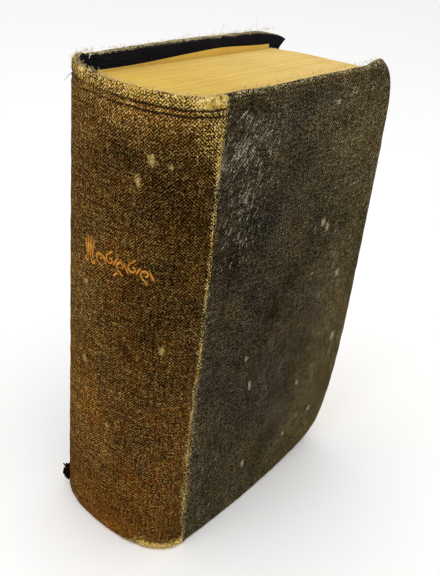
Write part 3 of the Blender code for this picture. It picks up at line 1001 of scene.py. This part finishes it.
def gathering(number):
    """One gathering: bundles of leaves, folded together at the back and trimmed a little unevenly."""
    random = np.random.default_rng(700 + number)
    points, flats, faces, edges = [], [], [], []
    first = 0
    for leaf in range(LEAVES_SHOWN):
        low_share = (number - 1 + leaf / LEAVES_SHOWN) / GATHERINGS
        high_share = (number - 1 + (leaf + 1) / LEAVES_SHOWN) / GATHERINGS
        middle = (low_share + high_share) / 2
        y = float(block_y(*BLOCK_MIDDLE, middle)[0])
        folded = abs(leaf - (LEAVES_SHOWN - 1) / 2) * 0.22
        back, round_share = back_edge(y)
        back = min(back + 0.25 + folded, -0.5)
        end = fore_edge(middle) + random.uniform(-0.15, 0.15)
        inner = np.linspace(back, -0.4, 4)
        x = np.concatenate([inner[:-1], gutter_columns(-0.4, end)])
        z = tail_heights(LEAF_TAIL + random.uniform(-0.1, 0.1), LEAF_HEAD + random.uniform(-0.04, 0.04))
        columns, heights = grid(x, z)
        columns = columns - head_bulge(round_share, heights) * np.clip(columns / back, 0, 1)
        columns = columns + smooth(end - 4, end, columns) * 0.15 * ripple(heights, heights, 22, 50 + number)
        heights = heights + head_lift(columns, middle) * smooth(LEAF_HEAD - 30, LEAF_HEAD, heights)

        def near(a, b, share=low_share):
            return block_y(a, b, share) + HALF_LEAF_GAP

        def far(a, b, share=high_share):
            return block_y(a, b, share) - HALF_LEAF_GAP

        depths = (low_share * THICKNESS, high_share * THICKNESS)
        made, flat, quads = slab(columns, heights, near, far, depths)
        points.append(made)
        flats.append(flat)
        faces += [tuple(corner + first for corner in quad) for quad in quads]
        first += len(made)
        margin = np.minimum.reduce([end - flat[:, 0], LEAF_HEAD - flat[:, 1], flat[:, 1] - LEAF_TAIL])
        edges.append(1 - smooth(0.1, 2.5, margin))
    name = f"leaves_of_gathering_{number:02d}"
    obj = mesh_object(name, np.vstack(points), faces, LEAF, np.vstack(flats), edge=np.concatenate(edges))
    obj.data.set_sharp_from_angle(angle=math.radians(40))
    if number in STILL_GATHERINGS:
        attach(obj, "spine")
    else:
        bend_at_joint(obj)
    return stand_in(obj, f"gathering_{number:02d}")


def glued_back():
    """The skin of old glue over the rounded folds."""
    path = []
    for number in range(GATHERINGS):
        for share in (0.0, 0.25, 0.5, 0.75):
            across = (number + share) / GATHERINGS
            y = float(block_y(*BLOCK_MIDDLE, across)[0])
            dip = 0.35 * (1 - math.sin(math.pi * share))
            back, round_share = back_edge(y)
            path.append((min(back + dip, -0.4), y, round_share))
    z = np.linspace(LEAF_TAIL + 0.3, LEAF_HEAD - 0.5, 12)
    rows = [np.column_stack([x - head_bulge(share, z), np.full(len(z), y), z]) for x, y, share in path]
    obj = mesh_object("glued_folds", np.vstack(rows), grid_faces(len(path), len(z)), GLUE)
    apply_modifiers(solidify(obj, 0.18))
    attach(obj, "spine")
    return stand_in(obj, "sewn_folds")


def spine_strip(name, node, material, depth, thickness, margin, low, high):
    """A strip glued round the spine, at the depth below the cloth's outer face."""
    lengths = np.linspace(margin, SPINE_ROUND - margin, 46)
    z = np.linspace(low, high, max(3, round((high - low) / 8)))
    around, up = [values.ravel() for values in grid(lengths, z)]
    x, y = spine_point(around, up, depth)
    points = np.column_stack([x, y, up])
    obj = mesh_object(name, points, grid_faces(len(lengths), len(z)), material)
    apply_modifiers(solidify(obj, thickness))
    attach(obj, "spine")
    return stand_in(obj, node)


def spine_layers():
    """The stiff inlay, the paper lining, the gauze, the sewing tapes and the kettle stitches."""
    spine_strip("stiff_inlay", "spine_inlay", BOARD, 0.75, 0.5, 3.0, 1.2, HEIGHT - 1.2)
    low, high = LEAF_TAIL + 0.5, LEAF_HEAD - 0.5
    spine_strip("paper_back_lining", "back_lining", LINING, 2.6, 0.3, 7.0, low, high)
    spine_strip("gauze_on_back", "mull", MULL, 3.2, 0.3, 7.5, GAUZE_INSET, HEIGHT - GAUZE_INSET)
    for place, z in (("lower", 38), ("middle", 73), ("upper", 108)):
        node = f"sewing_tape_{place}"
        spine_strip(f"linen_tape_{place}", node, TAPE, 3.8, 0.5, 8.5, z - 4.5, z + 4.5)
    for place, z in (("tail", 17), ("head", 128)):
        node = f"kettle_stitch_{place}"
        spine_strip(f"kettle_thread_{place}", node, THREAD, 4.0, 0.6, 9.0, z - 0.3, z + 0.3)


# ---------------------------------------------------------------- the ornament on the spine

ORNAMENT_U = -27.4
ORNAMENT_Z = 97.0


def stroke(points, widths):
    """Outline rows of a flat stroke of changing width through the points."""
    points = np.array(points, float)
    along = np.gradient(points, axis=0)
    along /= np.linalg.norm(along, axis=1)[:, None]
    side = np.column_stack([-along[:, 1], along[:, 0]]) * (np.array(widths) / 2)[:, None]
    return points + side, points - side


def scroll(start, turn, size, coils, flip):
    """A spiral that unwinds from its eye; flip is 1 or -1."""
    steps = 30
    rows = []
    for step in range(steps):
        share = step / (steps - 1)
        angle = turn + flip * coils * 2 * math.pi * (1 - share)
        radius = size * (0.16 + 0.84 * share)
        rows.append((start[0] + radius * math.cos(angle), start[1] + radius * math.sin(angle)))
    return rows, [0.32 + 0.34 * math.sin(math.pi * step / (steps - 1)) for step in range(steps)]


def leaf_shape(root, tip, width):
    """A pointed leaf from root to tip."""
    steps = 10
    shares = np.linspace(0, 1, steps)
    rows = np.array(root) + shares[:, None] * (np.array(tip) - np.array(root))
    return rows, [0.06 + width * math.sin(math.pi * share) ** 0.8 for share in shares]


def ornament_strokes():
    """A sheaf of tall leaves and a running vine of scrolls, in millimetres about the ornament's centre."""
    made = []
    for lean, tall in ((-1.5, 3.4), (-0.55, 4.6), (0.45, 4.9), (1.4, 3.9)):
        made.append(leaf_shape((-10.3 + lean * 0.75, -2.6), (-10.3 + lean * 1.25, tall), 0.72))
    made.append(scroll((-11.9, -2.9), 0.3, 0.9, 0.9, -1))
    made.append(scroll((-8.7, -2.9), math.pi - 0.3, 0.9, 0.9, 1))
    for unit in range(5):
        x = -5.9 + unit * 3.9
        flip = 1 if unit % 2 else -1
        made.append(scroll((x, 0.35 * flip), math.pi / 2 * flip, 1.75, 1.05, flip))
        made.append(leaf_shape((x + 1.0, -1.1 * flip), (x + 2.6, 1.7 * flip), 0.62))
        made.append(leaf_shape((x - 0.4, 2.1 * flip), (x + 0.9, 3.2 * flip), 0.55))
    made.append(leaf_shape((1.2, -2.2), (-0.8, -4.2), 0.6))
    return made


def ornament():
    """The gilt ornament, blocked into the cloth at the middle of the spine's upper half."""
    flat, faces = [], []
    for rows, widths in ornament_strokes():
        left, right = stroke(rows, widths)
        first = len(flat)
        for a, b in zip(left, right):
            flat += [a, (a + b) / 2, b]
        for step in range(len(rows) - 1):
            for lane in (0, 1):
                corner = first + step * 3 + lane
                faces.append((corner, corner + 1, corner + 4, corner + 3))
    flat = np.array(flat)
    u = ORNAMENT_U + flat[:, 0]
    z = ORNAMENT_Z + flat[:, 1]
    placed = np.column_stack([u, z, np.full(len(u), -0.02)])
    zero = {"tooling": np.zeros(len(u))}
    placed[:, 2] += relief(np.column_stack([u, z, np.zeros(len(u))]), zero)
    points = case_point("front", placed)
    obj = mesh_object("gilt_ornament", points, faces, GOLD, placed)
    apply_modifiers(solidify(obj, 0.07, 1.0))
    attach(obj, "spine")
    return obj


# ---------------------------------------------------------------- frayed threads


def fibre_mesh(routes, radii):
    """Points and faces of thin three-sided threads along the routes."""
    points, faces = [], []
    for route, radius in zip(routes, radii):
        route = np.array(route)
        first = len(points)
        for step, centre in enumerate(route):
            thin = radius * (1 - 0.6 * step / (len(route) - 1))
            ahead = route[min(step + 1, len(route) - 1)] - route[max(step - 1, 0)]
            ahead = ahead / (np.linalg.norm(ahead) + 1e-9)
            aside = np.cross(ahead, (0.3, 0.2, 1.0) if abs(ahead[2]) < 0.9 else (1.0, 0.3, 0.0))
            aside /= np.linalg.norm(aside)
            above = np.cross(ahead, aside)
            for corner in range(3):
                angle = corner * 2 * math.pi / 3
                points.append(centre + thin * (aside * math.cos(angle) + above * math.sin(angle)))
        for step in range(len(route) - 1):
            for corner in range(3):
                a = first + step * 3 + corner
                b = first + step * 3 + (corner + 1) % 3
                faces.append((a, b, b + 3, a + 3))
        faces.append((first, first + 2, first + 1))
        last = first + (len(route) - 1) * 3
        faces.append((last, last + 1, last + 2))
    return np.array(points), faces


def thread_piece(name, routes, radii, material, body):
    points, faces = fibre_mesh(routes, radii)
    obj = mesh_object(name, points, faces, material)
    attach(obj, body)
    return obj


def curled(start, direction, length, bend, random, steps=5):
    """A short thread that leaves start along the direction and curls."""
    direction = np.array(direction, float) / np.linalg.norm(direction)
    curl = random.normal(size=3) * bend
    route, place = [], np.array(start, float)
    for _ in range(steps + 1):
        route.append(place.copy())
        direction = direction + curl / steps
        direction /= np.linalg.norm(direction)
        place = place + direction * length / steps
        place[2] = max(place[2], 0.05)
    return route


def fringe(name, side, u_range, edge, count, length, body, seed):
    """Loose thread ends along the head, the tail, the fore-edge or the joint of one side."""
    random = np.random.default_rng(seed)
    outward = -1 if side == "front" else 1
    routes, radii = [], []
    for _ in range(count):
        along = random.uniform(*u_range)
        if edge == "head":
            depth = random.uniform(0.1, 2.0 if along < 0 else 3.2)
            flat = np.array([[along, HEIGHT + 0.05, depth]])
            direction = (random.normal() * 0.7, random.normal() * 0.7, 1.0)
        elif edge == "tail":
            depth = random.uniform(0.0, 0.6)
            flat = np.array([[along, random.uniform(0.2, 1.5), depth]])
            direction = (random.normal() * 0.6 - 0.6, 0.9 * outward, random.uniform(-0.9, 0.0))
        elif edge == "fore":
            width = FRONT_WIDTH if side == "front" else REAR_WIDTH
            flat = np.array([[width, along, random.uniform(0.3, 3.0)]])
            direction = (1.0, random.normal() * 0.8, random.normal() * 0.8)
        else:
            flat = np.array([[random.normal() * 0.7 - 0.3, along, -0.25]])
            direction = (random.normal() * 0.5 - 0.2, 0.8 * outward, random.normal() * 0.8)
        start = case_point(side, flat)[0]
        routes.append(curled(start, direction, length * random.uniform(0.3, 1.0), 1.3, random))
        radii.append(random.uniform(0.035, 0.075))
    return thread_piece(name, routes, radii, PALE_FIBRE, body)


def frayed_edges():
    """Worn thread ends at the head, tail and joints."""
    fringe("front_head_fray", "front", (3, FRONT_WIDTH - 6), "head", 210, 1.5, "front_cover", 1)
    fringe("rear_head_fray", "rear", (3, REAR_WIDTH - 6), "head", 230, 1.3, "rear_cover", 2)
    fringe("spine_head_fray", "front", (-SPINE_ROUND, 0), "head", 330, 1.6, "spine", 3)
    fringe("spine_tail_fray", "front", (-SPINE_ROUND + 4, -1), "tail", 90, 0.8, "spine", 4)
    fringe("spine_foot_fray", "front", (-22, 0), "tail", 260, 1.3, "spine", 8)
    fringe("front_fore_fray", "front", (12, HEIGHT - 8), "fore", 90, 0.9, "front_cover", 5)
    fringe("rear_fore_fray", "rear", (12, HEIGHT - 8), "fore", 90, 1.0, "rear_cover", 6)
    fringe("front_joint_fray", "front", (2, HEIGHT - 1), "joint", 420, 0.8, "spine", 7)


def loose_threads():
    """The few longer threads that have come away at the head of the rear joint and of the rear cover."""
    random = np.random.default_rng(21)
    rear_joint = case_point("rear", np.array([[-3.0, HEIGHT - 1.5, 2.6]]))[0]
    white = [
        curled(rear_joint, (0.35, -0.10, 1.0), 3.6, 0.35, random, 9),
        curled(rear_joint + (-0.6, -0.9, 0.8), (0.7, 0.5, 0.6), 2.4, 0.9, random, 8),
    ]
    thread_piece("white_loose_threads", white, [0.16, 0.10], WHITE_FIBRE, "spine")

    corner = case_point("rear", np.array([[-15.0, HEIGHT - 2.4, -0.1]]))[0]
    grey = [
        curled(corner, (-1.0, 0.3, -0.75), 3.6, 0.5, random, 9),
        curled(corner + (0, 0, 0.6), (-0.8, 0.5, 0.5), 1.3, 0.9, random, 6),
    ]
    thread_piece("grey_loose_threads", grey, [0.13, 0.10], GREY_FIBRE, "spine")

    hairs = []
    for _ in range(9):
        flat = np.array([[random.uniform(38, 70), HEIGHT, random.uniform(0.4, 3.2)]])
        start = case_point("rear", flat)[0]
        hairs.append(curled(start, (random.normal(), random.normal() * 0.5, 1.1), 5.0, 1.4, random, 9))
    thread_piece("rear_head_hairs", hairs, [0.05] * len(hairs), PALE_FIBRE, "rear_cover")


def frayed_tuft():
    """A small dark twist of frayed cloth at the foot of the spine, with pale threads below it."""
    random = np.random.default_rng(33)
    root = case_point("rear", np.array([[-10.5, 6.0, 0.1]]))[0]
    outward = np.array([-0.55, 0.83, 0.0])
    dark, pale = [], []
    for _ in range(90):
        start = root + outward * random.uniform(-0.2, 1.3) + (0, 0, random.uniform(-3.0, 2.0))
        direction = outward * random.uniform(0.1, 0.7) + (0, 0, random.normal() * 1.3)
        dark.append(curled(start, direction, random.uniform(1.0, 2.0), 2.2, random, 6))
    for _ in range(9):
        start = root + outward * random.uniform(0.3, 0.9) + (0, 0, random.uniform(-2.6, -1.4))
        direction = outward * random.uniform(-0.2, 0.2) + (0.3, -0.25, -1.0)
        pale.append(curled(start, direction, random.uniform(2.5, 4.5), 0.7, random, 6))
    thread_piece("dark_frayed_tuft", dark, [0.5] * len(dark), DARK_FIBRE, "spine")
    thread_piece("pale_frayed_tuft", pale, [0.12] * len(pale), WHITE_FIBRE, "spine")


# ---------------------------------------------------------------- the studio

CAMERA_PLACE = (-155.9, -131.5, 202.8)
CAMERA_TURN = (61.72, -5.43, -47.85)
CAMERA_LENS = 53.6


def camera():
    data = bpy.data.cameras.new("camera")
    data.lens = CAMERA_LENS
    data.sensor_width = 36.0
    data.clip_start = 0.01
    obj = bpy.data.objects.new("camera", data)
    obj.location = to_world(np.array([CAMERA_PLACE]))[0]
    obj.rotation_euler = Euler([math.radians(angle) for angle in CAMERA_TURN], "XYZ")
    bpy.context.scene.collection.objects.link(obj)
    bpy.context.scene.camera = obj


def area_light(name, place, target, size, power, colour):
    data = bpy.data.lights.new(name, "AREA")
    data.shape = "DISK"
    data.size = size
    data.energy = power
    data.color = colour
    obj = bpy.data.objects.new(name, data)
    obj.location = place
    away = np.array(place) - np.array(target)
    obj.rotation_euler = Vector(away).to_track_quat("Z", "Y").to_euler()
    bpy.context.scene.collection.objects.link(obj)


def studio():
    """A pale floor, an even pale sky and two soft lights."""
    bpy.ops.mesh.primitive_plane_add(size=6, location=(0, 0, cad_low.z - 0.0001))
    floor = bpy.context.object
    floor.name = "floor"
    s = Shader("floor", 0.6)
    place = s.node("TexCoord").outputs["Object"]
    tone = s.noise(place, 3.0, 2.0, 0.5)
    floor.data.materials.append(s.finish(s.mix(tone, (0.975, 0.965, 0.955), (0.985, 0.975, 0.965))))
    world = bpy.data.worlds.new("sky")
    world.use_nodes = True
    world.node_tree.nodes["Background"].inputs["Color"].default_value = (0.98, 0.99, 1.0, 1.0)
    world.node_tree.nodes["Background"].inputs["Strength"].default_value = 0.91
    bpy.context.scene.world = world
    area_light("overhead", (-0.15, -0.15, 0.95), (-0.05, -0.05, 0.0), 0.9, 2.1, (1.0, 0.99, 0.97))
    area_light("side", (-0.60, 0.05, 0.50), (0, 0, 0.07), 0.5, 0.8, (1.0, 0.98, 0.95))
    bpy.context.scene.view_settings.view_transform = "Standard"


def main():
    cover_cloth("front", FRONT_WIDTH, FRONT_SCUFFS, FRONT_SEED)
    cover_cloth("rear", REAR_WIDTH, REAR_SCUFFS, REAR_SEED)
    spine_cloth()
    board("front", FRONT_WIDTH)
    board("rear", REAR_WIDTH)
    endpapers("front", FRONT_WIDTH)
    endpapers("rear", REAR_WIDTH)
    for number in range(1, GATHERINGS + 1):
        gathering(number)
    glued_back()
    spine_layers()
    ornament()
    frayed_edges()
    loose_threads()
    frayed_tuft()
    camera()
    studio()


main()
